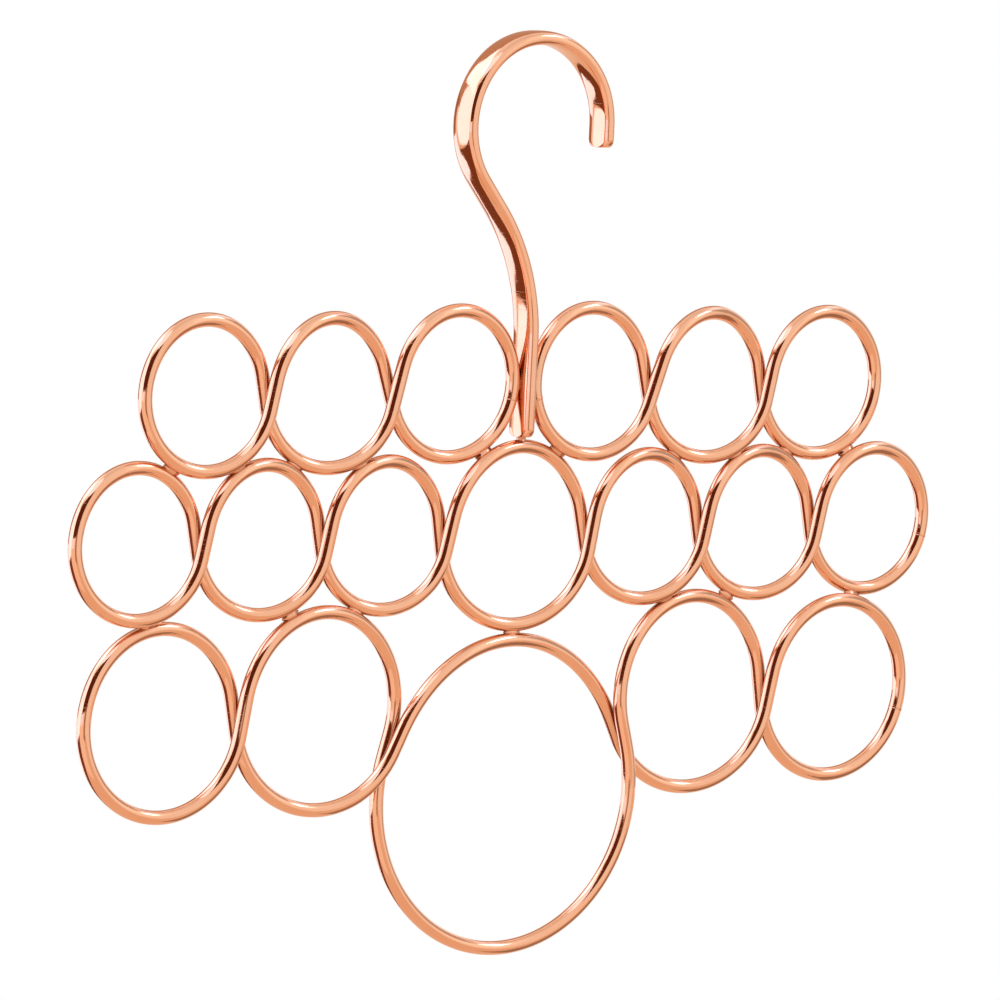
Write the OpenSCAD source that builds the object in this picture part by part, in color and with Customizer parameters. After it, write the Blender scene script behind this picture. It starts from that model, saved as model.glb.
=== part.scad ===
// Scarf hanger of polished wire: rows of round loops welded under a flat-oval hook.
// Millimetres. X runs across the loops, Z is up, and the front faces -Y.
// The origin is the centre of the hook's arch, where the closet rod lies.

/* [Wire] */
// Diameter of the loop wire
wire_d = 4.8; // [3.5:0.1:5.5]
// Air between the front and the back strand where they cross
cross_gap = 0.2; // [0.1:0.05:0.6]
// Air between the parts at a contact that a weld joins
weld_gap = 0.05; // [0:0.05:0.4]

/* [Loops] */
// Radius of the small loops, to the middle of the wire
small_r = 24.8; // [22:0.1:28]
// Radius of the middle row's centre loop
centre_r = 30.2; // [28:0.1:34]
// Radius of the lower row's end loops
lower_end_r = 30.9; // [28:0.1:33]
// Radius of the lower row's inner loops
lower_inner_r = 33.1; // [31:0.1:36]
// Radius of the large bottom loop
big_r = 52.7; // [48:0.1:58]
// How much further apart two loops of one wire stand than if they were tangent
spread = 1.2; // [0.4:0.1:3]
// The same for the large loop and its neighbours
big_spread = 0.4; // [0.3:0.1:2]
// Height of the small loops' centres above the centre loop's, in the middle row
row_rise = 1.6; // [0:0.1:3]
// Extra gap between a lower inner loop and the outer one of the two small loops over it
outer_slack = 1.2; // [0:0.1:1.6]

/* [Hook] */
// Radius of the hook's inner face, which rests on the rod
hook_inner_r = 26.8; // [22:0.1:30]
// Thickness of the hook bar, across the loops
bar_t = 5; // [4:0.1:6]
// Width of the hook bar, from front to back
bar_w = 11; // [9:0.1:13]
// Radius along the bar's long edges
bar_edge_r = 2.3; // [1:0.1:2.4]
// Radius that rounds the bar's two ends
bar_end_r = 3; // [1:0.1:4]
// Height of the arch's centre above the middle row
arch_h = 139; // [125:0.5:150]
// Length of the straight tip below the arch
tip_len = 7.5; // [4:0.5:14]
// Lean of the neck away from the vertical, in degrees
neck_lean = 39; // [36:1:45]
// Radius of the bend between neck and stem
neck_r = 71; // [60:1:76]
// How far the stem stands to the right of the arch's centre
stem_x = 0.8; // [-1:0.1:3]
// Height of the stem's foot over the centre loop
foot_gap = 1; // [0.5:0.1:2]

/* [Welds] */
// Radius of a weld bead between two wires
bead_r = 1.5; // [1.2:0.1:2.2]
// Length of a weld bead along the wires
bead_len = 6; // [4:0.5:12]
// Radius of the neck of weld under the stem's foot
foot_weld_r = 2; // [1.5:0.1:2.4]
// Width of the butt weld that closes a wire
joint_w = 0.8; // [0.4:0.1:1.5]
// How far a butt weld stands proud of the wire
joint_proud = 0.12; // [0.05:0.01:0.3]
// Angle between the butt weld and the far side of its loop, in degrees
joint_turn = 15; // [10:1:40]

/* [Hidden] */
$fn = 96;

copper = [0.86, 0.54, 0.41];
weld_tint = [0.78, 0.47, 0.35];

// Half the distance between the strands at a crossing: the front one lies at +strand_h.
strand_h = (wire_d + cross_gap) / 2;
// Arcs of wire and lengths of bar stop a hair short of each other, and a thin band joins them.
seam = 0.05;
band_len = 0.8;
band_proud = 0.02;
row_touch = wire_d + weld_gap;
// How far a butt weld reaches over each end of its wire
joint_lap = 0.2;
arch_r = hook_inner_r + bar_t / 2;

// All loops lie in one plane and are drawn flat, with x across and y up from the
// middle row's axis. A loop is [x, y, radius], and a chain lists its loops from left to right.

// Where two circles round a and b meet, on the side that turns left from a to b
function meet(a, ra, b, rb) =
  let (
    across = [b[0] - a[0], b[1] - a[1]],
    dist = norm(across),
    along = (ra * ra - rb * rb + dist * dist) / (2 * dist),
    off = sqrt(ra * ra - along * along),
    unit = across / dist
  )
  [a[0] + unit[0] * along - unit[1] * off, a[1] + unit[1] * along + unit[0] * off];

function mirrored(loop) = [-loop[0], loop[1], loop[2]];
function sized(place, radius) = [place[0], place[1], radius];

// Middle row: the loops stand side by side, each a little further off than its neighbour's tangent.
pitch = 2 * small_r + spread;
m4 = [0, 0, centre_r];
m5 = [centre_r + small_r + spread, row_rise, small_r];
m6 = m5 + [pitch, 0, 0];
m7 = m6 + [pitch, 0, 0];
middle_chain = [mirrored(m7), mirrored(m6), mirrored(m5), m4, m5, m6, m7];

// Upper row: the outer loops sit in the valleys of the middle row, and the
// inner one leans on the stem and on the centre loop.
valley = 2 * small_r + row_touch;
beside_stem = bar_t / 2 + weld_gap + wire_d / 2 + small_r;
t4 = [beside_stem, sqrt(pow(centre_r + small_r + row_touch, 2) - pow(beside_stem, 2)), small_r];
t5 = sized(meet(m5, valley, m6, valley), small_r);
t6 = sized(meet(m6, valley, m7, valley), small_r);
upper_right_chain = [t4, t5, t6];
upper_left_chain = [mirrored(t6), mirrored(t5), mirrored(t4)];

// Lower row: the inner loops hang in a valley, the end loops under the last loops,
// and the large loop hangs between the inner ones.
under_valley = small_r + lower_inner_r + row_touch;
b4 = sized(meet(m6, under_valley + outer_slack, m5, under_valley), lower_inner_r);
b5 = sized(meet(m7, small_r + lower_end_r + row_touch, b4, lower_inner_r + lower_end_r + spread),
  lower_end_r);
big_drop = sqrt(pow(lower_inner_r + big_r + big_spread, 2) - pow(b4[0], 2));
b3 = [0, b4[1] - big_drop, big_r];
lower_chain = [mirrored(b5), mirrored(b4), b3, b4, b5];

function turn(a) = a - 360 * floor(a / 360);
function heading(from, to) = atan2(to[1] - from[1], to[0] - from[0]);

// Two strands cross in straight lines that touch both loops. The lines leave a loop this
// many degrees to either side of the heading to the other loop.
function cross_turn(a, b) = acos((a[2] + b[2]) / norm([b[0] - a[0], b[1] - a[1]]));

// A strand starts where it leaves a straight line, at full depth, and runs round its loop to
// the middle of the way to the next line, where it passes the loops' plane. It is an arc of
// a circle tilted about its own starting direction, and it ends square to the middle.
// The result is [radius, tilt, angle] of that arc.
function strand_arc(rho, span, radius, angle, steps = 5) =
  let (
    tilt = asin(strand_h / (radius * (1 - cos(angle)))),
    stretch = norm([sin(span), cos(span) * cos(tilt)]),
    next_angle = acos(cos(span) * cos(tilt) / stretch),
    next_radius = rho / (cos(tilt) * (1 - cos(next_angle)) + cos(span) / stretch)
  )
  steps == 0 ? [radius, tilt, angle] : strand_arc(rho, span, next_radius, next_angle, steps - 1);

// Depth of a pair of strands at a heading: they start at "from" and span "span" together.
function strand_depth(from, span, at) =
  let (
    gone = turn(at - from),
    swing = strand_h / (1 - cos(span / 2))
  )
  gone < span / 2 ? swing * (1 - cos(gone)) - strand_h : strand_h - swing * (1 - cos(span - gone));

// Neighbours of loop i in its chain; an end loop has the same one on both sides.
function left_loop(chain, i) = chain[i == 0 ? 1 : i - 1];
function right_loop(chain, i) = chain[i == len(chain) - 1 ? i - 1 : i + 1];
function is_end(chain, i) = i == 0 || i == len(chain) - 1;

// Headings between which a loop's wire is round, anticlockwise: [over the top, under the bottom],
// each [from, span]. An end loop has one such stretch only.
function stretches_of(chain, i) =
  let (
    left = heading(chain[i], left_loop(chain, i)),
    right = heading(chain[i], right_loop(chain, i)),
    left_turn = cross_turn(chain[i], left_loop(chain, i)),
    right_turn = cross_turn(chain[i], right_loop(chain, i)),
    over = turn(left - right)
  )
  is_end(chain, i) ? [[left + left_turn, 360 - 2 * left_turn]]
    : [[right + right_turn, over - left_turn - right_turn],
       [left + left_turn, 360 - over - left_turn - right_turn]];

// Depth of loop i of a chain where it faces the given heading
function loop_depth(chain, i, at) =
  [for (stretch = stretches_of(chain, i))
    if (turn(at - stretch[0]) < stretch[1]) strand_depth(stretch[0], stretch[1], at)][0];

// Stands a flat drawing up, with its front towards -Y
module stand_up() {
  translate([stem_x, 0, -arch_h])
    rotate([90, 0, 0])
      children();
}

// Length of wire along Y, a hair wider than the rest
module wire_band(length = band_len) {
  rotate([90, 0, 0])
    cylinder(d = wire_d + 2 * band_proud, h = length, center = true);
}

// Puts its children on a strand, an angle away from its start, with the wire along Y.
// Side 1 runs anticlockwise from the back, side -1 clockwise from the front.
module along_strand(loop, at, side, span, gone) {
  arc = strand_arc(loop[2], span, loop[2], span);
  translate([loop[0] + loop[2] * cos(at), loop[1] + loop[2] * sin(at), -side * strand_h])
    rotate([0, 0, at])
      mirror([0, side > 0 ? 0 : 1, 0])
        rotate([0, side * arc[1], 0])
          translate([-arc[0], 0, 0])
            rotate([0, 0, gone])
              translate([arc[0], 0, 0])
                children();
}

// One strand, with a band at its far end if it runs anticlockwise. It can have a gap
// for the butt weld, joint_turn short of the far end.
module strand(loop, at, side, span, has_joint = false) {
  arc = strand_arc(loop[2], span, loop[2], span);
  hair = asin(seam / arc[0]);
  half_joint = asin(joint_w / 2 / arc[0]);
  runs = has_joint
    ? [[hair, arc[2] - joint_turn - half_joint], [arc[2] - joint_turn + half_joint, arc[2] - hair]]
    : [[hair, arc[2] - hair]];
  for (run = runs)
    along_strand(loop, at, side, span, run[0])
      translate([-arc[0], 0, 0])
        rotate_extrude(angle = run[1] - run[0])
          translate([arc[0], 0])
            circle(d = wire_d);
  if (side > 0)
    along_strand(loop, at, side, span, arc[2])
      wire_band();
}

// The two straight lines of wire where loops a and b cross over
module crossing(a, b) {
  dist = norm([b[0] - a[0], b[1] - a[1]]);
  reach = dist * a[2] / (a[2] + b[2]);
  at = heading(a, b);
  slope = tan(cross_turn(a, b));
  for (side = [-1, 1])
    translate([a[0] + reach * cos(at), a[1] + reach * sin(at), -side * strand_h])
      rotate([0, 0, at + side * cross_turn(a, b)])
        translate([0, side * slope * (a[2] - b[2]) / 2, 0])
          wire_band(slope * (a[2] + b[2]) + band_len);
}

// A whole wire: every loop and crossing of a chain, with the butt weld's gap in the first
// or the last loop, below its far side
module wire(chain, joint_at) {
  for (i = [0 : len(chain) - 1], stretch = stretches_of(chain, i)) {
    half = stretch[1] / 2;
    strand(chain[i], stretch[0], 1, half, i == joint_at && i > 0);
    strand(chain[i], stretch[0] + stretch[1], -1, half, i == joint_at && i == 0);
  }
  for (i = [1 : len(chain) - 1])
    crossing(chain[i - 1], chain[i]);
}

// Section of the hook bar: a rectangle with rounded edges, its thickness along x
module bar_section(proud = 0) {
  square([bar_t - 2 * bar_edge_r, bar_w + 2 * proud], center = true);
  square([bar_t + 2 * proud, bar_w - 2 * bar_edge_r], center = true);
  for (x = [-1, 1], y = [-1, 1])
    translate([x * (bar_t / 2 - bar_edge_r), y * (bar_w / 2 - bar_edge_r)])
      circle(r = bar_edge_r + proud);
}

// Straight length of bar going up from its lower end
module bar_straight(length) {
  linear_extrude(height = length)
    bar_section();
}

// Band round the bar
module bar_band() {
  linear_extrude(height = band_len, center = true)
    bar_section(band_proud);
}

// Bend of the bar about the Y axis through the origin, from +X towards +Z, with a band at both ends
module bar_bend(radius, angle) {
  hair = asin(seam / radius);
  rotate([90, 0, 0]) {
    rotate([0, 0, hair])
      rotate_extrude(angle = angle - 2 * hair)
        translate([radius, 0])
          bar_section();
    for (at = [0, angle])
      rotate([0, 0, at])
        translate([radius, 0, 0])
          rotate([90, 0, 0])
            bar_band();
  }
}

// Outline that rounds the lower corners of a bar end, seen along X
module end_outline(length) {
  rotate([90, 0, 90])
    linear_extrude(height = 2 * bar_t, center = true) {
      translate([-bar_w, bar_end_r])
        square([2 * bar_w, length]);
      translate([bar_end_r - bar_w / 2, 0])
        square([bar_w - 2 * bar_end_r, bar_end_r + 1]);
      for (y = [-1, 1])
        translate([y * (bar_w / 2 - bar_end_r), bar_end_r])
          circle(r = bar_end_r);
    }
}

// Straight length of bar whose lower end is rounded
module bar_end(length) {
  intersection() {
    bar_straight(length);
    end_outline(length);
  }
}

module hook() {
  arch_end = [-arch_r * cos(neck_lean), -arch_r * sin(neck_lean)];
  bend_x = stem_x - neck_r;
  neck_len = (stem_x - arch_end[0] - neck_r * (1 - cos(neck_lean))) / sin(neck_lean);
  bend_z = arch_end[1] - neck_len * cos(neck_lean) - neck_r * sin(neck_lean);
  foot_z = centre_r + wire_d / 2 + foot_gap - arch_h;
  color(copper) {
    translate([arch_r, 0, -tip_len])
      bar_end(tip_len - seam);
    bar_bend(arch_r, 180 + neck_lean);
    translate([arch_end[0], 0, arch_end[1]])
      rotate([0, 180 - neck_lean, 0])
        translate([0, 0, seam])
          bar_straight(neck_len - 2 * seam);
    translate([bend_x, 0, bend_z])
      bar_bend(neck_r, neck_lean);
    translate([stem_x, 0, foot_z])
      bar_end(bend_z - foot_z - seam);
  }
}

module upper_left_wire() {
  color(copper)
    stand_up()
      wire(upper_left_chain, 2);
}

module upper_right_wire() {
  color(copper)
    stand_up()
      wire(upper_right_chain, 0);
}

module middle_wire() {
  color(copper)
    stand_up()
      wire(middle_chain, 6);
}

module lower_wire() {
  color(copper)
    stand_up()
      wire(lower_chain, 4);
}

// Bead of weld metal along X, a rod with round ends
module bead() {
  half = bead_len / 2;
  rotate([0, 90, 0])
    rotate_extrude()
      intersection() {
        translate([0, -half])
          square([bead_r, bead_len]);
        union() {
          square([2 * bead_r, bead_len - 2 * bead_r], center = true);
          for (side = [-1, 1])
            translate([0, side * (half - bead_r)])
              circle(r = bead_r);
        }
      }
}

// Bead between loop i of chain a and loop j of chain b, at the mean of their depths
module loop_weld(a, i, b, j) {
  there = heading(a[i], b[j]);
  gap = norm([b[j][0] - a[i][0], b[j][1] - a[i][1]]) - a[i][2] - b[j][2];
  out = a[i][2] + gap / 2;
  depth = (loop_depth(a, i, there) + loop_depth(b, j, there + 180)) / 2;
  translate([a[i][0] + out * cos(there), a[i][1] + out * sin(there), depth])
    rotate([0, 0, there + 90])
      bead();
}

module foot_weld() {
  color(weld_tint)
    translate([stem_x, 0, centre_r - arch_h])
      cylinder(r = foot_weld_r, h = wire_d / 2 + foot_gap + 1);
}

module stem_side_welds() {
  color(weld_tint)
    stand_up()
      for (side = [-1, 1])
        translate([side * (bar_t + weld_gap) / 2, t4[1], 0])
          rotate([0, 0, 90])
            bead();
}

module upper_row_welds() {
  color(weld_tint)
    stand_up() {
      for (i = [0, 1], side = [0, 1])
        loop_weld(upper_left_chain, i, middle_chain, i + side);
      loop_weld(upper_left_chain, 2, middle_chain, 3);
      loop_weld(upper_right_chain, 0, middle_chain, 3);
      for (i = [1, 2], side = [0, 1])
        loop_weld(upper_right_chain, i, middle_chain, i + 3 + side);
    }
}

module lower_row_welds() {
  color(weld_tint)
    stand_up() {
      loop_weld(lower_chain, 0, middle_chain, 0);
      loop_weld(lower_chain, 1, middle_chain, 1);
      loop_weld(lower_chain, 1, middle_chain, 2);
      loop_weld(lower_chain, 2, middle_chain, 3);
      loop_weld(lower_chain, 3, middle_chain, 4);
      loop_weld(lower_chain, 3, middle_chain, 5);
      loop_weld(lower_chain, 4, middle_chain, 6);
    }
}

// Butt weld that fills the gap in end loop i
module joint_weld(chain, i) {
  side = i == 0 ? -1 : 1;
  stretch = stretches_of(chain, i)[0];
  half = stretch[1] / 2;
  arc = strand_arc(chain[i][2], half, chain[i][2], half);
  along_strand(chain[i], stretch[0] + (side > 0 ? 0 : stretch[1]), side, half, arc[2] - joint_turn)
    rotate([90, 0, 0])
      cylinder(d = wire_d + 2 * joint_proud, h = joint_w + 2 * joint_lap, center = true);
}

module wire_joint_welds() {
  color(weld_tint)
    stand_up() {
      joint_weld(upper_left_chain, 2);
      joint_weld(upper_right_chain, 0);
      joint_weld(middle_chain, 6);
      joint_weld(lower_chain, 4);
    }
}

hook();
upper_left_wire();
upper_right_wire();
middle_wire();
lower_wire();
foot_weld();
stem_side_welds();
upper_row_welds();
lower_row_welds();
wire_joint_welds();
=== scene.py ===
# %% [markdown]
# # A copper-plated scarf hanger
# Scarves are pulled through the loops of this hanger: three rows of bent wire under a hook of
# flat-oval bar, welded together and plated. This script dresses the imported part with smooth
# swept metal, small rough weld beads and a lacquered copper finish, and lights it like a
# catalogue photograph on white.

import math

import bmesh
import bpy
from mathutils import Matrix, Vector, noise
from mathutils.bvhtree import BVHTree


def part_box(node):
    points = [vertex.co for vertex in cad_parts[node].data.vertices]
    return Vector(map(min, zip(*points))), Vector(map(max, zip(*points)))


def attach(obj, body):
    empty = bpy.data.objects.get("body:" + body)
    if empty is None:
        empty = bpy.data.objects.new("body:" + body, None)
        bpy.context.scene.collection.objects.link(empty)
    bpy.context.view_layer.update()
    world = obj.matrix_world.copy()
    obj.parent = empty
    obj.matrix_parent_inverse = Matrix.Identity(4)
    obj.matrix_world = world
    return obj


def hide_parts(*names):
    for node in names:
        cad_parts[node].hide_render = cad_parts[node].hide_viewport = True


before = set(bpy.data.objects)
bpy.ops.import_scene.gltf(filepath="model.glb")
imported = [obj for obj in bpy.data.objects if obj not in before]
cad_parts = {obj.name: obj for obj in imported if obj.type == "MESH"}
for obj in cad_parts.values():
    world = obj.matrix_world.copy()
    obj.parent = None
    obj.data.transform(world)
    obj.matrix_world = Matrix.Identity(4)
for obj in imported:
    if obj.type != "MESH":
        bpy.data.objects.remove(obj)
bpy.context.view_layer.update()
MM = 0.001
print("nodes:", sorted(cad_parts))

# %% [markdown]
# ## Sizes shared by all the pieces
# The real hanger is made from two stocks, a round wire and a flat-oval bar. Their thicknesses
# are named here because every piece needs them. The places of the stem and of the middle row
# could be typed in too, but they are measured on the part, so that a part which moves them is
# followed.

# %% Shared sizes
WIRE_D = 4.8 * MM
BAR_T = 5.0 * MM
BAR_W = 11.0 * MM
CROSS_GAP = 0.2 * MM
WELD_GAP = 0.05 * MM

WIRE_R = WIRE_D / 2
ROW_TOUCH = WIRE_D + WELD_GAP

hook_lo, hook_hi = (Vector(corner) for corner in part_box("hook"))
middle_lo, middle_hi = (Vector(corner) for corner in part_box("middle_wire"))
STEM_X = (middle_lo.x + middle_hi.x) / 2
ROW_Z = (middle_lo.z + middle_hi.z) / 2
print(f"stem at x {STEM_X / MM:.2f} mm, middle row at z {ROW_Z / MM:.2f} mm")

# %% [markdown]
# ## Layout of the loops
# A wire bender makes each row from one length of wire. The rows are laid out flat here, with x
# across and y up from the middle row's axis: loops of one row stand side by side, and a loop of
# the next row sits in the valley between two of them, a weld's gap away. Every centre could be
# typed in, but then one changed radius would tear the rows apart. So a centre is worked out
# from the two loops that it touches.

# %% Layout helpers
Loop = tuple[float, float, float]


def meet(a: Loop, reach_a: float, b: Loop, reach_b: float, radius: float) -> Loop:
    """Loop of that radius whose centre lies the given distances from a and b, left of a to b."""
    across = Vector((b[0] - a[0], b[1] - a[1]))
    along = (reach_a**2 - reach_b**2 + across.length_squared) / (2 * across.length)
    off = math.sqrt(reach_a**2 - along**2)
    unit = across.normalized()
    return (a[0] + unit.x * along - unit.y * off, a[1] + unit.y * along + unit.x * off, radius)


def mirrored(loop: Loop) -> Loop:
    return (-loop[0], loop[1], loop[2])


def place(x: float, y: float, depth: float) -> Vector:
    """Stands a point of the flat layout up. Depth counts towards the front, which faces -Y."""
    return Vector((STEM_X + x, -depth, ROW_Z + y))


print("the layout's origin stands at", place(0, 0, 0))

# %% Middle row
SMALL_R = 24.8 * MM
CENTRE_R = 30.2 * MM
SPREAD = 1.2 * MM
ROW_RISE = 1.6 * MM

pitch = 2 * SMALL_R + SPREAD
m4 = (0.0, 0.0, CENTRE_R)
m5 = (CENTRE_R + SMALL_R + SPREAD, ROW_RISE, SMALL_R)
m6 = (m5[0] + pitch, ROW_RISE, SMALL_R)
m7 = (m6[0] + pitch, ROW_RISE, SMALL_R)
middle_row = [mirrored(m7), mirrored(m6), mirrored(m5), m4, m5, m6, m7]
print(f"middle row: {len(middle_row)} loops, {pitch / MM:.1f} mm apart")

# %% Upper rows
valley = 2 * SMALL_R + ROW_TOUCH
beside_stem = BAR_T / 2 + WELD_GAP + WIRE_R + SMALL_R
t4 = (beside_stem, math.sqrt((CENTRE_R + SMALL_R + ROW_TOUCH) ** 2 - beside_stem**2), SMALL_R)
t5 = meet(m5, valley, m6, valley, SMALL_R)
t6 = meet(m6, valley, m7, valley, SMALL_R)
left_row = [mirrored(t6), mirrored(t5), mirrored(t4)]
right_row = [t4, t5, t6]
print(f"upper rows: {len(left_row)} loops a side, {t5[1] / MM:.1f} mm over the middle row")

# %% Lower row
LOWER_INNER_R = 33.1 * MM
LOWER_END_R = 30.9 * MM
BIG_R = 52.7 * MM
BIG_SPREAD = 0.4 * MM
OUTER_SLACK = 1.2 * MM

under_valley = SMALL_R + LOWER_INNER_R + ROW_TOUCH
under_end = SMALL_R + LOWER_END_R + ROW_TOUCH
b4 = meet(m6, under_valley + OUTER_SLACK, m5, under_valley, LOWER_INNER_R)
b5 = meet(m7, under_end, b4, LOWER_INNER_R + LOWER_END_R + SPREAD, LOWER_END_R)
big_drop = math.sqrt((LOWER_INNER_R + BIG_R + BIG_SPREAD) ** 2 - b4[0] ** 2)
b3 = (0.0, b4[1] - big_drop, BIG_R)
lower_row = [mirrored(b5), mirrored(b4), b3, b4, b5]
print(f"lower row: {len(lower_row)} loops, the big one {-b3[1] / MM:.1f} mm down")

# %% Chains
CHAINS = {
    "upper_left_wire": left_row,
    "upper_right_wire": right_row,
    "middle_wire": middle_row,
    "lower_wire": lower_row,
}
for name, chain in CHAINS.items():
    print(name, [f"{loop[0] / MM:.1f},{loop[1] / MM:.1f}" for loop in chain])

# %% [markdown]
# ## The wire's path
# On the real hanger the wire weaves: where two loops meet, its strands cross, one in front of
# the other. A curve object drawn by hand through such a weave would sag between its control
# points and cut into itself. Here the strands cross in straight lines, and between crossings
# each one is an arc of a slightly tilted circle, so that it drifts from the back to the front
# as it runs round its loop.

# %% Crossings
STRAND_H = (WIRE_D + CROSS_GAP) / 2
ARC_PASSES = 6


def heading(a: Loop, b: Loop) -> float:
    """Direction from the centre of loop a to the centre of loop b."""
    return math.atan2(b[1] - a[1], b[0] - a[0])


def cross_turn(a: Loop, b: Loop) -> float:
    """Angle on loop a between its neighbour b and the place where the straight crossing ends."""
    return math.acos((a[2] + b[2]) / math.hypot(b[0] - a[0], b[1] - a[1]))


def tilted_arc(rho: float, span: float) -> tuple[float, float, float]:
    """Radius, tilt and angle of the arc that starts at full depth and ends square to the middle."""
    radius, angle = rho, span
    for _ in range(ARC_PASSES):
        tilt = math.asin(STRAND_H / (radius * (1 - math.cos(angle))))
        stretch = math.hypot(math.sin(span), math.cos(span) * math.cos(tilt))
        angle = math.acos(math.cos(span) * math.cos(tilt) / stretch)
        radius = rho / (math.cos(tilt) * (1 - math.cos(angle)) + math.cos(span) / stretch)
    return radius, tilt, angle


lean = math.degrees(tilted_arc(SMALL_R, math.pi / 2)[1])
print(f"a strand over half a small loop leans {lean:.1f} degrees")

# %% Strands
STEP = math.radians(3)


def strand(loop: Loop, start: float, side: int, span: float) -> list[Vector]:
    """Points of one strand. Side 1 runs anticlockwise from the back, side -1 clockwise from
    the front."""
    radius, tilt, angle = tilted_arc(loop[2], span)
    inward = Vector((-math.cos(start), -math.sin(start)))
    along = Vector((inward.y, -inward.x)) * side
    origin = Vector((loop[0], loop[1])) - inward * loop[2]
    count = max(2, round(angle / STEP))
    points = []
    for k in range(count + 1):
        gone = angle * k / count
        drop = radius * (1 - math.cos(gone))
        flat = origin + inward * (math.cos(tilt) * drop) + along * (radius * math.sin(gone))
        points.append(place(flat.x, flat.y, side * (math.sin(tilt) * drop - STRAND_H)))
    return points


def stretch_points(loop: Loop, start: float, span: float) -> list[Vector]:
    """One round stretch of wire, anticlockwise from the back to the front."""
    first = strand(loop, start, 1, span / 2)
    second = strand(loop, start + span, -1, span / 2)
    return first + second[-2::-1]


print(f"half a small loop has {len(stretch_points(m5, 0, math.pi))} points")

# %% Whole wires
STRAIGHT_STEP = STEP * SMALL_R * 1.6


def stretches(chain: list[Loop], i: int) -> list[list[Vector]]:
    """The stretch over the top and the one under the bottom, or an end loop's single stretch."""
    loop = chain[i]
    left_loop = chain[i - 1] if i else chain[1]
    right_loop = chain[i + 1] if i < len(chain) - 1 else chain[i - 1]
    left, right = heading(loop, left_loop), heading(loop, right_loop)
    left_turn, right_turn = cross_turn(loop, left_loop), cross_turn(loop, right_loop)
    if left_loop == right_loop:
        return [stretch_points(loop, left + left_turn, 2 * math.pi - 2 * left_turn)]
    over = (left - right) % (2 * math.pi)
    trim = left_turn + right_turn
    return [
        stretch_points(loop, right + right_turn, over - trim),
        stretch_points(loop, left + left_turn, 2 * math.pi - over - trim),
    ]


def wire_path(chain: list[Loop]) -> list[Vector]:
    """The closed route of one wire: out over and under the loops, round the last one and back."""
    last = len(chain) - 1
    out, back = [], []
    over = True
    for i in range(1, last):
        top, bottom = stretches(chain, i)
        out += top[::-1] if over else bottom
        back = (bottom[::-1] if over else top) + back
        over = not over
    first_turn = stretches(chain, 0)[0]
    last_turn = stretches(chain, last)[0]
    return first_turn + out + (last_turn[::-1] if over else last_turn) + back


def filled(points: list[Vector], longest: float) -> list[Vector]:
    """A closed route with points added on its straight lines, none further apart than longest."""
    out = []
    for here, there in zip(points, points[1:] + points[:1]):
        steps = max(1, math.ceil((there - here).length / longest))
        out += [here.lerp(there, k / steps) for k in range(steps)]
    return out


routes = {name: filled(wire_path(chain), STRAIGHT_STEP) for name, chain in CHAINS.items()}
print("points on the wires:", {name: len(route) for name, route in routes.items()})

# %% [markdown]
# ## Swept metal
# Wire and bar are drawn through a die, so one section runs along the whole of each. A curve
# object with a bevel would do that too, but it chooses by itself how the flat bar turns, and its
# UV map doesn't run in metres. So one grid of squares is rolled up round the section and laid
# along the route, with the section's depth kept square to the hanger's plane. Before the seams
# are merged, every corner stores how far along the route and how far round the section it lies,
# for the drawing marks of the finish.

# %% Finished pieces
def finished(name, bm):
    """Turns the faces outwards and puts the mesh into the scene as an object at the origin."""
    bmesh.ops.recalc_face_normals(bm, faces=bm.faces)
    mesh = bpy.data.meshes.new(name)
    bm.to_mesh(mesh)
    bm.free()
    obj = bpy.data.objects.new(name, mesh)
    bpy.context.scene.collection.objects.link(obj)
    print(f"{name}: face count {len(mesh.polygons)}")
    return obj


# %% Sweep
DEPTH_AXIS = Vector((0, 1, 0))
SEAM_MERGE = 0.001 * MM


def running_lengths(points) -> list[float]:
    """Length of the broken line from its first point to each of its points."""
    lengths = [0.0]
    for here, there in zip(points, points[1:]):
        lengths.append(lengths[-1] + math.dist(here, there))
    return lengths


def section_frame(before: Vector, after: Vector) -> tuple[Vector, Vector]:
    """Side and depth directions of a section that stands square to the way from before to after."""
    tangent = (after - before).normalized()
    depth = (DEPTH_AXIS - tangent * DEPTH_AXIS.dot(tangent)).normalized()
    return depth.cross(tangent), depth


def sweep(name, path, section, closed, widths=None):
    """Mesh object of a section [(side, depth), ...] swept along a path in the XZ plane."""
    rows = path + path[:1] if closed else path
    columns = section + section[:1]
    gone, girth = running_lengths(rows), running_lengths(columns)
    bm = bmesh.new()
    along = bm.loops.layers.uv.new("along")
    squares = (len(columns) - 1, len(rows) - 1)
    bmesh.ops.create_grid(bm, x_segments=squares[0], y_segments=squares[1], size=1)
    corners = iter(bm.verts)
    marks = {}
    for row, point in enumerate(rows):
        before = path[row - 1] if row or closed else point
        after = path[(row + 1) % len(path)] if row < len(rows) - 1 or closed else point
        side, depth = section_frame(before, after)
        wide = widths[row] if widths else 1.0
        for column, (s, d) in enumerate(columns):
            corner = next(corners)
            corner.co = point + side * s + depth * d * wide
            marks[corner] = (gone[row], girth[column])
    for face in bm.faces:
        face.smooth = True
        for corner in face.loops:
            corner[along].uv = marks[corner.vert]
    bmesh.ops.remove_doubles(bm, verts=bm.verts, dist=SEAM_MERGE)
    # The two ends of a bar are cut and tumbled, not drawn, so they get no drawing lines.
    for end in bmesh.ops.holes_fill(bm, edges=bm.edges, sides=0)["faces"]:
        end.smooth = False
        for corner in end.loops:
            corner[along].uv = (0, 0)
    print(f"{name}: {gone[-1] / MM:.0f} mm long")
    return finished(name, bm)


# %% [markdown]
# ## The four wires
# Each row is round wire, bent to loops and closed by a butt weld. A torus for every loop would
# look right from afar, but the real strands run on from loop to loop, and their crossings are
# what the eye follows. So each wire is one sweep along its woven route.

# %% Wires
WIRE_SIDES = 28

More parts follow.
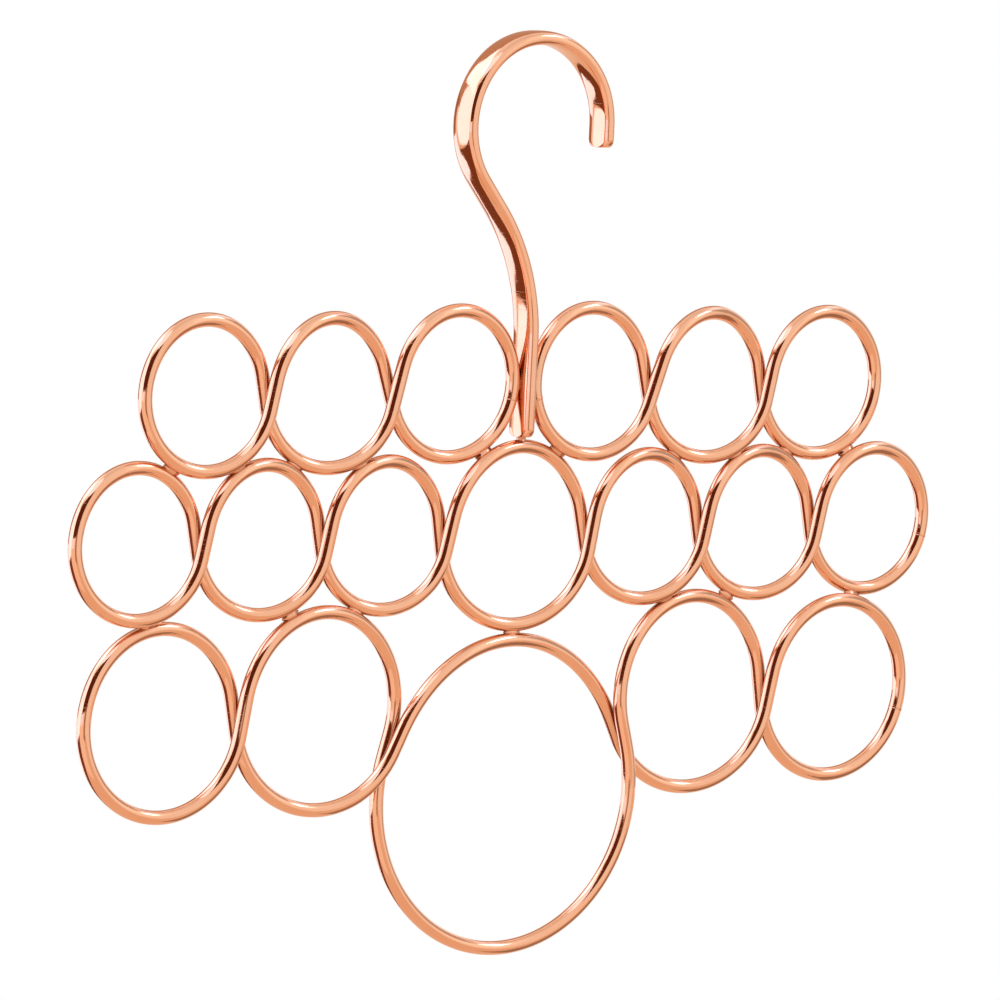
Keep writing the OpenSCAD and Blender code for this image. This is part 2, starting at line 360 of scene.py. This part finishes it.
wire_turns = [2 * math.pi * j / WIRE_SIDES for j in range(WIRE_SIDES)]
wire_section = [(WIRE_R * math.cos(turn), WIRE_R * math.sin(turn)) for turn in wire_turns]
wires = {}
for name, route in routes.items():
    wires[name] = sweep(name + "_metal", route, wire_section, closed=True)
    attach(wires[name], "root")
    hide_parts(name)

# %% [markdown]
# ## The hook
# The hook is one bar of flat-oval section, rolled with slightly crowned broad faces and tumbled
# round at both ends. It runs from the tip over the arch, down the leaning neck and through the
# bend into the straight stem. A bevelled rectangle would give flat faces, which mirror the
# studio in hard panels. A superellipse gives the crown and keeps the section inside the part's.

# %% Bar section
BAR_SIDES = 72
SQUARENESS = 2.8


def bar_section() -> list[tuple[float, float]]:
    points = []
    for k in range(BAR_SIDES):
        turn = 2 * math.pi * k / BAR_SIDES
        c, s = math.cos(turn), math.sin(turn)
        size = (abs(c) ** SQUARENESS + abs(s) ** SQUARENESS) ** (-1 / SQUARENESS)
        points.append((BAR_T / 2 * size * c, BAR_W / 2 * size * s))
    return points


print(f"bar section: {len(bar_section())} corners")

# %% Bar path
ARCH_R = hook_hi.z - BAR_T / 2
TIP_LEN = 7.5 * MM
NECK_LEAN = math.radians(39)
NECK_R = 71 * MM
FOOT_Z = hook_lo.z
BAR_STEP = 1.2 * MM


def arc(cx, cz, radius, start, end):
    """Points of an arc in the hanger's plane, about one bar step apart."""
    count = max(2, round(abs(end - start) * radius / BAR_STEP))
    points = []
    for k in range(count + 1):
        turn = start + (end - start) * k / count
        points.append(Vector((cx + radius * math.cos(turn), 0, cz + radius * math.sin(turn))))
    return points


arch = arc(0, 0, ARCH_R, 0, math.pi + NECK_LEAN)
bend_in = NECK_R * (1 - math.cos(NECK_LEAN))
neck_len = (STEM_X - arch[-1].x - bend_in) / math.sin(NECK_LEAN)
bend_z = arch[-1].z - neck_len * math.cos(NECK_LEAN) - NECK_R * math.sin(NECK_LEAN)
bend = arc(STEM_X - NECK_R, bend_z, NECK_R, NECK_LEAN, 0)
print(f"arch radius {ARCH_R / MM:.2f} mm, straight neck {neck_len / MM:.1f} mm")

# %% Bar ends and sweep
BAR_END_R = 3.0 * MM
END_STEPS = 10


def end_width(up: float) -> float:
    """Share of the bar's width left at a height over its end, where the corners are round."""
    inset = BAR_END_R - math.sqrt(max(0.0, BAR_END_R**2 - (BAR_END_R - up) ** 2))
    return 1 - 2 * inset / BAR_W


rounding = [
    BAR_END_R * (1 - math.cos(math.pi / 2 * k / END_STEPS)) for k in range(END_STEPS + 1)
]
tip = [Vector((ARCH_R, 0, -TIP_LEN + up)) for up in rounding]
foot = [Vector((STEM_X, 0, FOOT_Z + up)) for up in reversed(rounding)]
bar_path = tip + arch + bend + foot
tip_widths = [end_width(up) for up in rounding]
widths = tip_widths + [1.0] * (len(arch) + len(bend)) + tip_widths[::-1]
hook = sweep("hook_metal", bar_path, bar_section(), closed=False, widths=widths)
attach(hook, "root")
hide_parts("hook")

# %% [markdown]
# ## The welds
# Resistance welds and small touches of filler hold the rows together. Each one is a short
# spindle of metal in the groove between two wires, a little lumpy because it froze as it ran,
# and it goes under the plating with the rest. A displaced ball would do, but it would stand
# proud of the wires like a bead on a string. So a profile that runs out at both ends is spun
# round the groove's own direction, and noise takes a little metal away.

# %% Spun bodies
BEAD_SIDES = 28
LUMPS_PER_M = 900


def lathe(bm, middle, axis, profile, lumps, reach=None, widened=1.0):
    """Body spun round an axis, from [(place along it, radius), ...], with lumps that only take
    metal away. It can be widened towards one side and its opposite."""
    axis = axis.normalized()
    aside = (reach or axis.orthogonal()).normalized()
    others = set(bm.verts)
    line = [bm.verts.new(middle + axis * gone + aside * radius) for gone, radius in profile]
    edges = [bm.edges.new(pair) for pair in zip(line, line[1:])]
    bmesh.ops.spin(bm, geom=line + edges, cent=middle, axis=axis, angle=2 * math.pi,
                   steps=BEAD_SIDES, use_merge=True)
    for corner in set(bm.verts) - others:
        centre = middle + axis * (corner.co - middle).dot(axis)
        out = corner.co - centre
        out += aside * out.dot(aside) * (widened - 1)
        cut = lumps * (0.5 + 0.5 * noise.noise((centre + out) * LUMPS_PER_M))
        corner.co = centre + out * (1 - cut)


def weld_piece(name, bm):
    """Closes the ends of the spun bodies and makes them the piece that stands for a node."""
    bmesh.ops.holes_fill(bm, edges=bm.edges, sides=0)
    for face in bm.faces:
        face.smooth = True
    obj = finished(name + "_metal", bm)
    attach(obj, "root")
    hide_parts(name)
    return obj


# %% Beads
BEAD_R = 1.5 * MM
BEAD_REACH = 2.2 * MM
BEAD_LEN = 7.6 * MM
BEAD_STEPS = 16
BEAD_LUMPS = 0.12
RIPPLE = 0.06
RIPPLES = 9


def spindle(bm, middle, axis, reach=None):
    """Weld bead, thick in the middle and run out at both ends, that reaches from metal to metal."""
    profile = []
    for k in range(BEAD_STEPS + 1):
        share = -math.cos(math.pi * (0.5 + k) / (BEAD_STEPS + 1))
        fullness = 1 - share**2
        ripple = 1 - RIPPLE * fullness * math.cos(RIPPLES * math.pi * share)
        profile.append((share * BEAD_LEN / 2, BEAD_R * fullness * ripple / (1 + RIPPLE)))
    widened = BEAD_REACH / BEAD_R if reach else 1.0
    lathe(bm, middle, axis, profile, BEAD_LUMPS, reach=reach, widened=widened)


def depth_at(chain: list[Loop], i: int, bearing: float) -> float:
    """Depth of loop i where it faces a bearing, read off the nearest point of its wire."""
    x = chain[i][0] + chain[i][2] * math.cos(bearing)
    y = chain[i][1] + chain[i][2] * math.sin(bearing)
    spots = [spot for stretch in stretches(chain, i) for spot in stretch]
    flat = place(x, y, 0)
    nearest = min(spots, key=lambda spot: (spot.x - flat.x) ** 2 + (spot.z - flat.z) ** 2)
    return -nearest.y


def loop_weld(bm, a: list[Loop], i: int, b: list[Loop], j: int):
    """Bead where loop i of wire a touches loop j of wire b."""
    there = heading(a[i], b[j])
    across = math.hypot(b[j][0] - a[i][0], b[j][1] - a[i][1]) - a[i][2] - b[j][2]
    out = a[i][2] + across / 2
    near, far = depth_at(a, i, there), depth_at(b, j, there + math.pi)
    x, y = a[i][0] + out * math.cos(there), a[i][1] + out * math.sin(there)
    reach = Vector((across * math.cos(there), near - far, across * math.sin(there)))
    groove = Vector((-math.sin(there), 0, math.cos(there)))
    spindle(bm, place(x, y, (near + far) / 2), groove, reach)


# %% Row welds
LEFT_TOUCHES = ((0, 0), (0, 1), (1, 1), (1, 2), (2, 3))
RIGHT_TOUCHES = ((0, 3), (1, 4), (1, 5), (2, 5), (2, 6))
LOWER_TOUCHES = ((0, 0), (1, 1), (1, 2), (2, 3), (3, 4), (3, 5), (4, 6))

welds = []
bm = bmesh.new()
for i, j in LEFT_TOUCHES:
    loop_weld(bm, left_row, i, middle_row, j)
for i, j in RIGHT_TOUCHES:
    loop_weld(bm, right_row, i, middle_row, j)
welds.append(weld_piece("upper_row_welds", bm))

bm = bmesh.new()
for i, j in LOWER_TOUCHES:
    loop_weld(bm, lower_row, i, middle_row, j)
welds.append(weld_piece("lower_row_welds", bm))

# %% Stem welds
FOOT_WELD_R = 2.0 * MM
FOOT_WAIST = 0.16
FOOT_LUMPS = 0.08
FOOT_STEPS = 16
UPRIGHT = Vector((0, 0, 1))

bm = bmesh.new()
for side in (-1, 1):
    spindle(bm, place(side * (BAR_T + WELD_GAP) / 2, t4[1], 0), UPRIGHT)
welds.append(weld_piece("stem_side_welds", bm))

bm = bmesh.new()
foot_lo, foot_hi = (Vector(corner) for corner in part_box("foot_weld"))
tall = foot_hi.z - foot_lo.z
neck = []
for k in range(FOOT_STEPS + 1):
    share = k / FOOT_STEPS
    waist = 1 - FOOT_WAIST * math.sin(math.pi * share)
    neck.append((tall * (share - 0.5), FOOT_WELD_R * waist))
lathe(bm, (foot_lo + foot_hi) / 2, UPRIGHT, neck, FOOT_LUMPS)
welds.append(weld_piece("foot_weld", bm))

# %% Butt joints
JOINT_W = 1.2 * MM
JOINT_PROUD = 0.11 * MM
JOINT_SUNK = 0.02 * MM
JOINT_TURN = math.radians(15)
JOINT_STEPS = 8
JOINT_LUMPS = 0.012


def joint_weld(bm, chain: list[Loop], i: int, side: int):
    """Ring of weld round the wire of end loop i, where its two ends meet."""
    route = stretches(chain, i)[0]
    middle = len(route) // 2
    arm = route[: middle + 1] if side > 0 else route[middle:][::-1]
    k = len(arm) - 1
    gone = 0.0
    while gone < JOINT_TURN * chain[i][2]:
        step = (arm[k] - arm[k - 1]).length
        gone, k = gone + step, k - 1
    spot = arm[k].lerp(arm[k + 1], (gone - JOINT_TURN * chain[i][2]) / step)
    profile = []
    for n in range(JOINT_STEPS + 1):
        share = 2 * n / JOINT_STEPS - 1
        proud = JOINT_PROUD * (1 - share**2) - JOINT_SUNK
        profile.append((share * JOINT_W / 2, WIRE_R + proud))
    lathe(bm, spot, arm[k + 1] - arm[k], profile, JOINT_LUMPS)


bm = bmesh.new()
joint_weld(bm, left_row, 2, 1)
joint_weld(bm, right_row, 0, -1)
joint_weld(bm, middle_row, 6, 1)
joint_weld(bm, lower_row, 4, 1)
welds.append(weld_piece("wire_joint_welds", bm))

# %% [markdown]
# ## Where the plating is duller, with painted shade in the grooves
# A polishing wheel doesn't reach into the grooves where two wires run close together, so the
# plating stays dull there. The same grooves also get darker, browner copper, which is painted
# shade for the light that close wires keep out. An Ambient Occlusion node could find them, but
# only while it renders, and with grain. A value stored in the mesh is even and can be counted. So
# five rays go out from every corner of the metal, and the more of them meet other metal close by,
# the higher the corner's value, from 0 in the open to 1 in the bottom of a groove.

# %% Dull grooves and their painted shade
GROOVE_REACH = 5 * MM
RAY_LEAN = 0.9
RAY_START = 0.1
FULLY_SHUT_IN = 2.5
MARKED = 0.1

pieces = [hook, *wires.values(), *welds]
corners, faces = [], []
for piece in pieces:
    first = len(corners)
    corners += [vertex.co.copy() for vertex in piece.data.vertices]
    faces += [[first + index for index in polygon.vertices] for polygon in piece.data.polygons]
metal = BVHTree.FromPolygons(corners, faces)


def shut_in(spot: Vector, normal: Vector) -> float:
    """How much other metal stands close over a spot, from 0 to 1."""
    aside = normal.orthogonal().normalized() * RAY_LEAN
    other = normal.cross(aside)
    closeness = 0.0
    for lean in (Vector(), aside, -aside, other, -other):
        ray = (normal + lean).normalized()
        gap = metal.ray_cast(spot + ray * RAY_START * MM, ray, GROOVE_REACH)[3]
        if gap is not None:
            closeness += 1 - gap / GROOVE_REACH
    return min(1.0, closeness / FULLY_SHUT_IN)


# The groove value makes the plating rougher and also darkens its colour as painted shade.
for piece in pieces:
    marks = piece.data.attributes.new("groove", "FLOAT", "POINT")
    values = [shut_in(vertex.co, vertex.normal) for vertex in piece.data.vertices]
    marks.data.foreach_set("value", values)
    dull_and_shaded_count = sum(value > MARKED for value in values)
    print(f"{piece.name}: {dull_and_shaded_count} of {len(values)} corners in a groove")

# %% [markdown]
# ## Finish
# The metal is plated with copper under a clear lacquer. The wheel leaves fine lines along it,
# handling leaves faint clouds and a few hair scratches, and the lacquer has small dust nibs. A
# plain metal shader would look like a mirror made in a computer. Painted textures would need
# files. So noise, stretched along the metal by its own lengths or left even in Object
# coordinates, makes all of these marks, and the groove values make the dull places and darken
# their colour as painted shade.

# %% Shader helpers
def stretched(tree, source, scale, turn=(0, 0, 0)):
    """Coordinates that are scaled and turned, so that a pattern on them is drawn out."""
    mapping = tree.nodes.new("ShaderNodeMapping")
    mapping.inputs["Scale"].default_value = scale
    mapping.inputs["Rotation"].default_value = turn
    tree.links.new(source, mapping.inputs["Vector"])
    return mapping.outputs["Vector"]


def cloud(tree, source, scale, detail):
    """Soft noise, with so many clouds to the metre."""
    noise_node = tree.nodes.new("ShaderNodeTexNoise")
    noise_node.inputs["Scale"].default_value = scale
    noise_node.inputs["Detail"].default_value = detail
    tree.links.new(source, noise_node.inputs["Vector"])
    return noise_node.outputs["Fac"]


def mapped(tree, source, low, high, to_low=0.0, to_high=1.0):
    """Stretches the values from low to high over the range from to_low to to_high."""
    ranged = tree.nodes.new("ShaderNodeMapRange")
    sockets = {"From Min": low, "From Max": high, "To Min": to_low, "To Max": to_high}
    for socket, value in sockets.items():
        ranged.inputs[socket].default_value = value
    tree.links.new(source, ranged.inputs["Value"])
    return ranged.outputs["Result"]


def combined(tree, operation, first, second):
    """One pattern added to another or to a number, or multiplied, subtracted and so on."""
    maths = tree.nodes.new("ShaderNodeMath")
    maths.operation = operation
    for socket, value in zip(maths.inputs, (first, second)):
        if isinstance(value, float):
            socket.default_value = value
        else:
            tree.links.new(value, socket)
    return maths.outputs["Value"]


def blended(tree, factor, first, second):
    """Colour between the first and the second, which may be plain colours or outputs."""
    mix = tree.nodes.new("ShaderNodeMix")
    mix.data_type = "RGBA"
    tree.links.new(factor, mix.inputs["Factor"])
    for socket, value in (("A", first), ("B", second)):
        if isinstance(value, tuple):
            mix.inputs[socket].default_value = (*value, 1)
        else:
            tree.links.new(value, mix.inputs[socket])
    return mix.outputs["Result"]


# %% Marks in the finish
CLOUDS_PER_M = 70.0
NIBS_PER_M = 1400.0
LINES_PER_M = (25, 5200, 1)
FINE_LINES_PER_M = (90, 16000, 1)
HAIRS_PER_M = (30, 30, 2600)
HAIR_TURNS = ((0.4, 0.9, 0.2), (1.3, 0.2, 0.7), (2.0, 1.6, 0.1))


def finish_marks(tree):
    """Noise patterns of the finish by name, each from 0 to 1."""
    where = tree.nodes.new("ShaderNodeTexCoord").outputs["Object"]
    along = tree.nodes.new("ShaderNodeUVMap")
    along.uv_map = "along"
    lengths = along.outputs["UV"]
    groove = tree.nodes.new("ShaderNodeAttribute")
    groove.attribute_name = "groove"
    hairs = []
    for turn in HAIR_TURNS:
        threads = cloud(tree, stretched(tree, where, HAIRS_PER_M, turn), scale=1.0, detail=1.0)
        hairs.append(mapped(tree, threads, low=0.70, high=0.73))
    scratches = combined(tree, "MAXIMUM", hairs[0], hairs[1])
    grains = cloud(tree, where, NIBS_PER_M, detail=1.0)
    return {
        "groove": groove.outputs["Fac"],
        "clouds": cloud(tree, where, CLOUDS_PER_M, detail=5.0),
        "nibs": mapped(tree, grains, low=0.70, high=0.76),
        "lines": cloud(tree, stretched(tree, lengths, LINES_PER_M), scale=1.0, detail=2.0),
        "fine": cloud(tree, stretched(tree, lengths, FINE_LINES_PER_M), scale=1.0, detail=2.0),
        "scratches": combined(tree, "MAXIMUM", scratches, hairs[2]),
    }


# %% Tone with painted groove shade, dullness and relief
WARM_SHARE = (0.985, 0.93, 0.88)
# Share of the copper's colour left at the bottom of a groove: painted shade.
GROOVE_SHADE_SHARE = (0.58, 0.58, 0.56)
CLOUD_DULLNESS = 1.5
FINE_DULLNESS = 0.015
GROOVE_DULLNESS = 0.12
SCRATCH_DULLNESS = 0.10
RELIEF_DEPTH = 0.02 * MM
LINE_HEIGHT = 0.7
FINE_HEIGHT = 0.3
SCRATCH_DEPTH = 0.5
NIB_HEIGHT = 0.6


def tinted(colour, share):
    return tuple(c * k for c, k in zip(colour, share))


def plating_tone(tree, marks, colour):
    """Copper, warmer in the clouds, and darkened towards brown in the grooves as painted shade."""
    warmth = mapped(tree, marks["clouds"], 0.35, 0.70)
    tone = blended(tree, warmth, colour, tinted(colour, WARM_SHARE))
    uneven = mapped(tree, marks["clouds"], 0.3, 0.7, to_low=0.7)
    # Painted shade: the grooves darken towards brown, more under some clouds than others.
    painted_groove_shade = combined(tree, "MULTIPLY", marks["groove"], uneven)
    return blended(tree, painted_groove_shade, tone, tinted(colour, GROOVE_SHADE_SHARE))


def plating_dullness(tree, marks, roughness):
    """Roughness, with more of it in clouds, along fine lines, in grooves and in scratches."""
    even = mapped(tree, marks["clouds"], 0.4, 0.75, roughness, roughness * CLOUD_DULLNESS)
    fine = mapped(tree, marks["fine"], 0.3, 0.7, 0.0, FINE_DULLNESS)
    groove = combined(tree, "MULTIPLY", marks["groove"], GROOVE_DULLNESS)
    scratches = combined(tree, "MULTIPLY", marks["scratches"], SCRATCH_DULLNESS)
    dull = combined(tree, "ADD", combined(tree, "ADD", even, fine), groove)
    return combined(tree, "ADD", dull, scratches)


def plating_relief(tree, marks, strength):
    """Surface normal, raised by lines and nibs and cut by scratches."""
    heights = [
        ("ADD", "fine", FINE_HEIGHT),
        ("SUBTRACT", "scratches", SCRATCH_DEPTH),
        ("ADD", "nibs", NIB_HEIGHT),
    ]
    relief = combined(tree, "MULTIPLY", marks["lines"], LINE_HEIGHT)
    for operation, mark, height in heights:
        scaled = combined(tree, "MULTIPLY", marks[mark], height)
        relief = combined(tree, operation, relief, scaled)
    bump = tree.nodes.new("ShaderNodeBump")
    bump.inputs["Strength"].default_value = strength
    bump.inputs["Distance"].default_value = RELIEF_DEPTH
    tree.links.new(relief, bump.inputs["Height"])
    return bump.outputs["Normal"]


# %% Plated copper
COPPER = (0.925, 0.475, 0.285)
WELD_COPPER = (0.88, 0.42, 0.25)
LACQUER = 0.4
LACQUER_ROUGHNESS = 0.03


def plated(name, colour, roughness, lines):
    """Polished copper plating under lacquer. Lines is how strongly the drawing lines show."""
    material = bpy.data.materials.new(name)
    material.use_nodes = True
    tree = material.node_tree
    shader = tree.nodes["Principled BSDF"]
    shader.inputs["Metallic"].default_value = 1.0
    shader.inputs["Coat Weight"].default_value = LACQUER
    shader.inputs["Coat Roughness"].default_value = LACQUER_ROUGHNESS
    marks = finish_marks(tree)
    tree.links.new(plating_tone(tree, marks, colour), shader.inputs["Base Color"])
    tree.links.new(plating_dullness(tree, marks, roughness), shader.inputs["Roughness"])
    tree.links.new(plating_relief(tree, marks, lines), shader.inputs["Normal"])
    print(f"{name}: {len(tree.nodes)} nodes")
    return material


hook.data.materials.append(plated("plated_bar", COPPER, roughness=0.05, lines=0.25))
wire_finish = plated("plated_wire", COPPER, roughness=0.055, lines=0.35)
for wire in wires.values():
    wire.data.materials.append(wire_finish)
weld_finish = plated("plated_weld", WELD_COPPER, roughness=0.12, lines=0.9)
for weld in welds:
    weld.data.materials.append(weld_finish)

# %% [markdown]
# ## Studio
# Polished copper shows its surroundings more than itself. A picture of a room round it could
# stand for a studio, but that would be a file, and its lights couldn't be moved. So the studio
# is a set of glowing cards all round: soft lights to the left and over it with two small bright
# lamps for the sparkles, a white wall in front, a dark corner beside the camera that draws the
# dark lines, floor cards that colour the undersides, and browner cards at the back.

# %% Cards
WHITE = (1, 1, 1)
STUDIO_R = 2.2
AIM = Vector((STEM_X, 0, (hook_hi.z + middle_lo.z) / 2))


def glow_material(name, strength, shade=WHITE):
    """Even glow of the given strength, which has no shading of its own."""
    material = bpy.data.materials.new(name)
    material.use_nodes = True
    tree = material.node_tree
    tree.nodes.clear()
    out = tree.nodes.new("ShaderNodeOutputMaterial")
    glow = tree.nodes.new("ShaderNodeEmission")
    glow.inputs["Color"].default_value = (*shade, 1)
    glow.inputs["Strength"].default_value = strength
    tree.links.new(glow.outputs["Emission"], out.inputs["Surface"])
    return material


def flat_sheet(name, half_wide, half_tall):
    """Level rectangle round the origin."""
    bm = bmesh.new()
    bmesh.ops.create_grid(bm, x_segments=1, y_segments=1, size=1)
    bmesh.ops.scale(bm, vec=(half_wide, half_tall, 1), verts=bm.verts)
    return finished(name, bm)


def card(name, bearing, height, width, tall, strength, shade=WHITE, reach=STUDIO_R):
    """Glowing card that faces the hanger. Its place and size are angles in degrees, as seen from
    the hanger: bearing from the front towards the right, height over the horizon, width, tall."""
    az, el = math.radians(bearing), math.radians(height)
    out = Vector((math.sin(az) * math.cos(el), -math.cos(az) * math.cos(el), math.sin(el)))
    half_wide, half_tall = (reach * math.tan(math.radians(size) / 2) for size in (width, tall))
    obj = flat_sheet(name, half_wide, half_tall)
    obj.data.materials.append(glow_material(name, strength, shade))
    turn = (-out).to_track_quat("Z", "Y").to_matrix().to_4x4()
    obj.matrix_world = Matrix.Translation(AIM + out * reach) @ turn
    obj.visible_camera = False
    return obj


# %% Cards round the hanger
COOL = (0.68, 0.745, 1.0)

card("left_softbox", -116, 9, 62, 56, 2.45, shade=COOL)
card("upper_left_softbox", -72, 64, 66, 28, 2.2, shade=COOL)
card("key_light", -140, 45, 46, 34, 2.8, shade=COOL, reach=2.1)
card("key_spot", -128, 54, 14, 10, 7.0, shade=COOL, reach=1.95)
card("front_right_spot", 50, 33, 12, 11, 8.0, shade=COOL, reach=1.95)
card("front_wall", 16, 14, 62, 54, 0.99)
card("front_wall_bright_side", 42, 22, 18, 42, 1.2, reach=2.1)
card("upper_right_softbox", 78, 43, 44, 12, 1.9, shade=COOL, reach=2.1)
card("dark_corner", -50, 24, 62, 44, 0.11, shade=(1.0, 0.25, 0.1), reach=2.0)
card("low_dark_corner", -28, -7, 22, 20, 0.45, shade=(1.0, 0.6, 0.4), reach=1.9)
card("left_floor_card", -64, -28, 74, 40, 1.02, shade=(1.0, 0.88, 0.8), reach=2.1)
card("left_glare_card", -74, -3, 36, 10, 1.75, shade=COOL, reach=2.0)
card("right_floor_card", 74, -38, 40, 38, 0.36, shade=(1.0, 0.75, 0.6), reach=1.8)
card("right_flag", 74, 10, 30, 44, 0.52)
card("back_floor_card", -140, -36, 80, 34, 0.2, shade=(1.0, 0.33, 0.14), reach=1.8)
card("back_ceiling_card", 174, 34, 88, 44, 0.56, shade=(1.0, 0.62, 0.42), reach=2.4)
card("back_low_softbox", -165, -21, 28, 28, 2.2, shade=COOL, reach=1.75)
card("back_flag", -172, 0, 34, 30, 0.4, shade=(1.0, 0.5, 0.3), reach=2.3)
card("ceiling", 30, 80, 60, 40, 0.86)

# %% [markdown]
# ## Floor and background
# The floor is pale and plain. Lit by the cards alone it would come out grey, and the catalogue
# photograph is white to its edges. So the camera sees an even white, mirrored rays meet a warm
# glow, and only the light that bounces about meets a matt floor. The world behind it all is
# white to the camera and in the metal, and a little weaker as a light.

# %% Floor
FLOOR_DROP = 1.4
FLOOR_HALF = 9
FLOOR_COLOUR = (0.85, 0.83, 0.81, 1)
MIRRORED_COLOUR = (1.0, 0.78, 0.62, 1)
MIRRORED_GLOW = 0.88

floor = flat_sheet("floor", FLOOR_HALF, FLOOR_HALF)
floor.location.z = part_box("lower_wire")[0][2] - FLOOR_DROP
pale = glow_material("pale_floor", 1.0)
nodes, links = pale.node_tree.nodes, pale.node_tree.links
glow, out = nodes["Emission"], nodes["Material Output"]
matt = nodes.new("ShaderNodeBsdfDiffuse")
matt.inputs["Color"].default_value = FLOOR_COLOUR
rays = nodes.new("ShaderNodeLightPath")
mirrored_glow = nodes.new("ShaderNodeEmission")
mirrored_glow.inputs["Color"].default_value = MIRRORED_COLOUR
mirrored_glow.inputs["Strength"].default_value = MIRRORED_GLOW
in_mirror = nodes.new("ShaderNodeMixShader")
in_view = nodes.new("ShaderNodeMixShader")
links.new(rays.outputs["Is Glossy Ray"], in_mirror.inputs["Fac"])
links.new(matt.outputs["BSDF"], in_mirror.inputs[1])
links.new(mirrored_glow.outputs["Emission"], in_mirror.inputs[2])
links.new(rays.outputs["Is Camera Ray"], in_view.inputs["Fac"])
links.new(in_mirror.outputs["Shader"], in_view.inputs[1])
links.new(glow.outputs["Emission"], in_view.inputs[2])
links.new(in_view.outputs["Shader"], out.inputs["Surface"])
floor.data.materials.append(pale)
print(f"floor at z {floor.location.z:.2f} m")

# %% World
SKY_LIGHT = 0.8
SKY_SEEN = 1.0

world = bpy.data.worlds.new("studio")
bpy.context.scene.world = world
world.use_nodes = True
nodes, links = world.node_tree.nodes, world.node_tree.links
nodes.clear()
out = nodes.new("ShaderNodeOutputWorld")
sky = nodes.new("ShaderNodeBackground")
sky.inputs["Color"].default_value = (*WHITE, 1)
rays = nodes.new("ShaderNodeLightPath")
seen = nodes.new("ShaderNodeMath")
seen.operation = "MAXIMUM"
level = nodes.new("ShaderNodeMapRange")
level.inputs["To Min"].default_value = SKY_LIGHT
level.inputs["To Max"].default_value = SKY_SEEN
links.new(rays.outputs["Is Camera Ray"], seen.inputs[0])
links.new(rays.outputs["Is Glossy Ray"], seen.inputs[1])
links.new(seen.outputs["Value"], level.inputs["Value"])
links.new(level.outputs["Result"], sky.inputs["Strength"])
links.new(sky.outputs["Background"], out.inputs["Surface"])
print(f"world: {len(nodes)} nodes")

# %% [markdown]
# ## Camera
# A long lens looks at the hanger from the left of its front and slightly above it, as the
# photographer did. An Empty to track would keep the hanger in view, but not the small roll of
# the picture, so the camera's three directions are worked out from its yaw, pitch and roll.

# %% Camera
CAM_YAW = math.radians(38.71)
CAM_PITCH = math.radians(5.84)
CAM_ROLL = math.radians(2.76)
CAM_DISTANCE = 2.6253
CAM_SIDE = -5.54 * MM
CAM_UP = 11.99 * MM
FOCAL_SHARE = 7.770
SENSOR_W = 36
CLIP_END = 20

level_way = Vector((math.sin(CAM_YAW), math.cos(CAM_YAW), 0))
forward = level_way * math.cos(CAM_PITCH) - UPRIGHT * math.sin(CAM_PITCH)
right = Vector((math.cos(CAM_YAW), -math.sin(CAM_YAW), 0))
up = right.cross(forward)
cam_right = math.cos(CAM_ROLL) * right + math.sin(CAM_ROLL) * up
cam_up = -math.sin(CAM_ROLL) * right + math.cos(CAM_ROLL) * up
target = Vector((STEM_X, 0, ROW_Z)) + CAM_SIDE * cam_right + CAM_UP * cam_up
camera = bpy.data.objects.new("camera", bpy.data.cameras.new("camera"))
bpy.context.scene.collection.objects.link(camera)
rotation = Matrix((cam_right, cam_up, -forward)).transposed().to_4x4()
camera.matrix_world = Matrix.Translation(target - CAM_DISTANCE * forward) @ rotation
camera.data.sensor_width = SENSOR_W
camera.data.lens = SENSOR_W * FOCAL_SHARE
camera.data.clip_end = CLIP_END
bpy.context.scene.camera = camera
bpy.context.scene.view_settings.view_transform = "Standard"
print(f"camera: {camera.data.lens:.0f} mm lens, {CAM_DISTANCE:.2f} m away")
